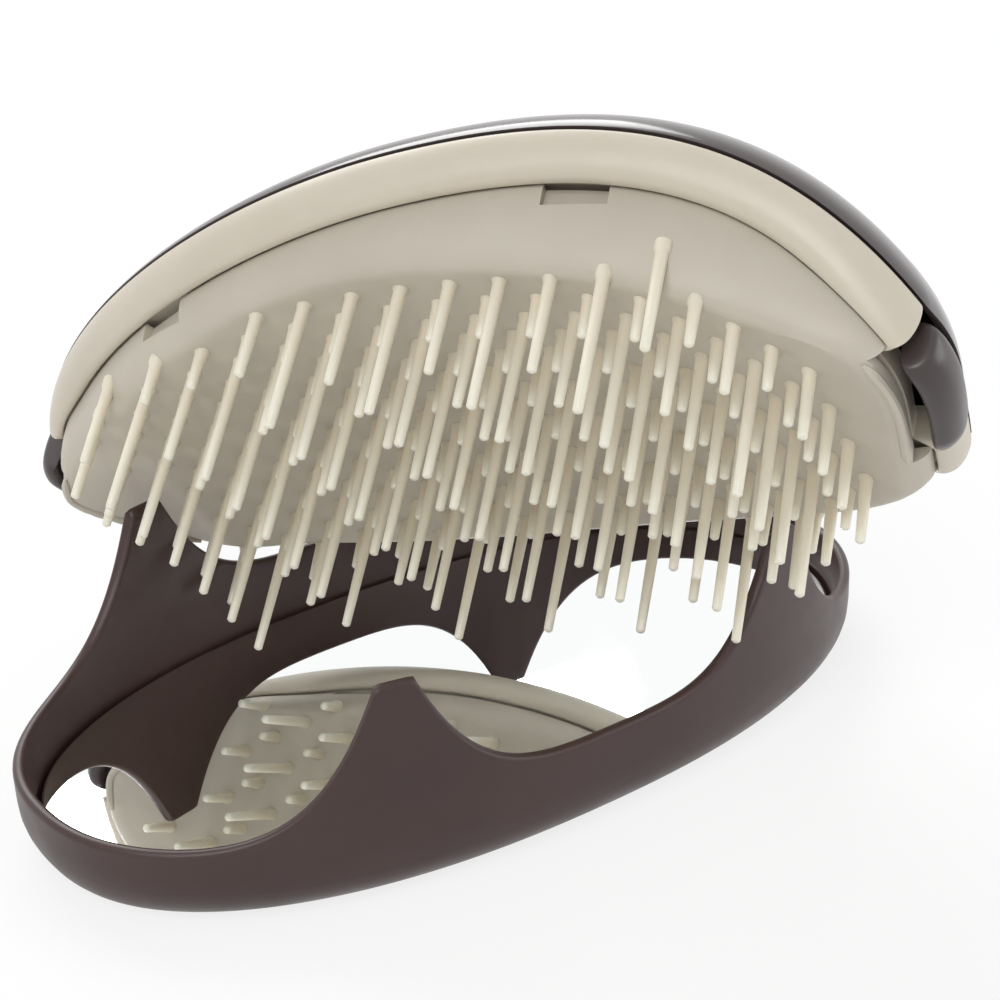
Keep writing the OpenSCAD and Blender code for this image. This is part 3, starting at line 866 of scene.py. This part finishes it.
def plate_plastic():
    return moulded("plate_beige_matt", srgb(197, 190, 176), srgb(189, 181, 167), 0.46, 4600, 5e-6, IOR=1.49,
                   Subsurface_Weight=0.16, Subsurface_Radius=BEIGE_GLOW, Subsurface_Scale=0.0014)


def pin_plastic():
    """Ivory plastic with a painted highlight: its colour gets paler towards the tips of the pins, where
    they catch the light.
    """
    material, t = moulded("pin_ivory", srgb(230, 222, 204), srgb(222, 213, 193), 0.34, 3600, 3e-6, IOR=1.49,
                          Subsurface_Weight=0.35, Subsurface_Radius=(1.0, 0.8, 0.55),
                          Subsurface_Scale=0.0012)
    # Painted highlight: the colour is blended paler along each pin towards its tip.
    along = t.add("ShaderNodeAttribute", attribute_name="along").outputs["Fac"]
    body = t.shader.inputs["Base Color"].links[0].from_socket
    tip_highlight_tint = blend_colours(t, spread(t, along, 0, 0.75, 0.15, 1.0), body, srgb(238, 235, 220))
    t.tree.links.new(tip_highlight_tint, t.shader.inputs["Base Color"])
    return material, t


def mirror_silver():
    """The silvered glass, with the faint smears of fingers."""
    material, t = new_material("mirror_silver", Metallic=1.0, Base_Color=srgb(250, 252, 251))
    t.tree.links.new(spread(t, noise(t, 90, 5), 0.004, 0.03, 0.45, 0.75), t.shader.inputs["Roughness"])
    return material, t


def glass_edge():
    """The bevelled edge of the glass, pale and a little green."""
    material, t = new_material("glass_edge", IOR=1.5, Coat_Weight=0.6, Coat_Roughness=0.05)
    streak = noise(t, 420, 3, stretch=(1, 1, 0.2))
    tint = blend_colours(t, spread(t, streak, 0, 1), srgb(196, 203, 186), srgb(168, 177, 160))
    t.tree.links.new(tint, t.shader.inputs["Base Color"])
    t.tree.links.new(spread(t, streak, 0.12, 0.3), t.shader.inputs["Roughness"])
    return material, t


def painted_reflection_line():
    """A painted reflection: the dull line just inside the bevel, where the glass edge shows again in the
    silver beneath.
    """
    material, t = new_material("painted_reflection_line", Metallic=0.6, IOR=1.5)
    line = noise(t, 500, 3)
    tint = blend_colours(t, spread(t, line, 0, 1), srgb(120, 116, 104), srgb(92, 88, 80))
    t.tree.links.new(tint, t.shader.inputs["Base Color"])
    t.tree.links.new(spread(t, line, 0.2, 0.4), t.shader.inputs["Roughness"])
    return material, t


def foam():
    """Pale open foam under the mirror."""
    material, t = new_material("foam_pad", IOR=1.4)
    cells = noise(t, 1500, 4)
    tint = blend_colours(t, spread(t, cells, 0, 1), srgb(214, 214, 204), srgb(190, 190, 180))
    t.tree.links.new(tint, t.shader.inputs["Base Color"])
    t.tree.links.new(spread(t, cells, 0.75, 0.95), t.shader.inputs["Roughness"])
    bump = t.add("ShaderNodeBump", {"Height": cells, "Strength": 0.4, "Distance": 1e-4})
    t.tree.links.new(bump.outputs[0], t.shader.inputs["Normal"])
    return material, t


# ---- Everything in place ----

finish = {look: make()[0] for look, make in (
    ("cover", cover_plastic), ("shell", shell_plastic), ("button", button_plastic), ("beige", rim_plastic),
    ("plate", plate_plastic), ("pins", pin_plastic), ("mirror", mirror_silver), ("glass_edge", glass_edge),
    ("painted_edge_reflection", painted_reflection_line), ("tape", foam))}


def settle(piece, body, node, slot_name, *looks):
    """Gives a piece its looks, lets it ride on a body and stand for a CAD node."""
    piece.data.materials.clear()
    for look in looks:
        piece.data.materials.append(finish[look])
    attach(piece, body)
    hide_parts(node)


settle(make_cover(), "cover", "cover_shell", "cover_plastic", "cover")
# The mirror's third look is a painted reflection: a dull line that stands for the glass edge seen in the
# silver.
settle(make_mirror(), "cover", "mirror_glass", "mirror", "mirror", "glass_edge", "painted_edge_reflection")
tape = frame["nodes"]["mirror_tape"]
tape.data.materials.clear()
tape.data.materials.append(finish["tape"])
settle(put_down(make_top_shell()), "brush", "top_shell", "shell_plastic", "shell")
settle(put_down(make_rim()), "brush", "body_frame", "beige_plastic", "beige")
settle(put_down(make_plate()), "brush", "pin_plate", "beige_plastic", "plate")
settle(put_down(make_pins(finish["pins"])), "brush", "pin_plate", "beige_plastic", "pins")
settle(put_down(make_button(-1)), "left_release", "left_button", "button_plastic", "button")
settle(put_down(make_button(1)), "right_release", "right_button", "button_plastic", "button")


# ---- Floor, light and camera ----

FLOOR_R, FLOOR_Z, FLOOR_SIDES, FLOOR_WHITE = 1500.0, -0.05, 96, 0.8
WORLD_LIGHT = 0.42
CAMERA_AT = (-0.10265, -0.15323, 0.1115)
CAMERA_RIGHT, CAMERA_DOWN = Vector((0.8052, -0.5918, -0.0377)), Vector((-0.2811, -0.3249, -0.9030))
CAMERA_AHEAD = Vector((0.5221, 0.7377, -0.4280))
SENSOR, FOCAL_SHARE = 36.0, 2.05


def white_ways(t, share):
    """How far a ray sees plain white instead of the lit surface."""
    path = t.add("ShaderNodeLightPath").outputs
    mirrored = t.math("MAXIMUM", path["Is Glossy Ray"], path["Is Transmission Ray"])
    return t.math("MULTIPLY", t.math("MAXIMUM", path["Is Camera Ray"], mirrored), share)


def make_floor():
    """A round white floor that keeps a share of the object's shadow."""
    angles = np.linspace(0, 2 * math.pi, FLOOR_SIDES, endpoint=False)
    ring = [(FLOOR_R * math.cos(a), FLOOR_R * math.sin(a), FLOOR_Z) for a in angles]
    floor = finished_mesh("floor", ring, [tuple(range(FLOOR_SIDES))])
    material = bpy.data.materials.new("floor_white")
    material.use_nodes = True
    t = Tree(material.node_tree)
    t.tree.nodes.clear()
    lit = t.add("ShaderNodeBsdfDiffuse", {"Color": (0.9, 0.9, 0.9, 1)}).outputs[0]
    white = t.add("ShaderNodeEmission", {"Color": (1, 1, 1, 1), "Strength": 1.0}).outputs[0]
    both = t.add("ShaderNodeMixShader", {0: white_ways(t, FLOOR_WHITE), 1: lit, 2: white}).outputs[0]
    t.add("ShaderNodeOutputMaterial", {"Surface": both})
    floor.data.materials.append(material)


def make_world():
    """Even white light all round, which the camera and reflections see at full white."""
    world = bpy.data.worlds.new("studio")
    scene.world = world
    world.use_nodes = True
    t = Tree(world.node_tree)
    t.tree.nodes.clear()
    soft = t.add("ShaderNodeBackground", {"Color": (1, 1, 1, 1), "Strength": WORLD_LIGHT}).outputs[0]
    white = t.add("ShaderNodeBackground", {"Color": (1, 1, 1, 1), "Strength": 1.0}).outputs[0]
    both = t.add("ShaderNodeMixShader", {0: white_ways(t, 1.0), 1: soft, 2: white}).outputs[0]
    t.add("ShaderNodeOutputWorld", {"Surface": both})


def softbox(name, place, target, size, watts):
    """A soft rectangular lamp turned to a target."""
    light = bpy.data.lights.new(name, "AREA")
    light.shape, light.size, light.size_y, light.energy = "RECTANGLE", size[0], size[1], watts
    lamp = bpy.data.objects.new(name, light)
    lamp.location = place
    lamp.rotation_euler = (Vector(target) - Vector(place)).to_track_quat("-Z", "Y").to_euler()
    scene.collection.objects.link(lamp)


def make_camera():
    """The camera as the photograph's perspective gives it."""
    data = bpy.data.cameras.new("camera")
    data.sensor_width, data.lens = SENSOR, SENSOR * FOCAL_SHARE
    data.clip_start, data.clip_end = 0.01, 10.0
    camera = bpy.data.objects.new("camera", data)
    turn = Matrix((CAMERA_RIGHT, -CAMERA_DOWN, -CAMERA_AHEAD)).transposed()
    camera.matrix_world = Matrix.Translation(CAMERA_AT) @ turn.to_4x4()
    scene.collection.objects.link(camera)
    scene.camera = camera


make_floor()
make_world()
softbox("key", (-0.35, -0.25, 0.42), (0, 0, 0.03), (0.35, 0.35), 1.5)
softbox("back", (0.12, 0.42, 0.45), (0, 0, 0.04), (0.5, 0.3), 2.6)
softbox("fill", (0.4, -0.3, 0.18), (0, 0, 0.03), (0.3, 0.3), 0.6)
make_camera()

scene.view_settings.view_transform = "Standard"
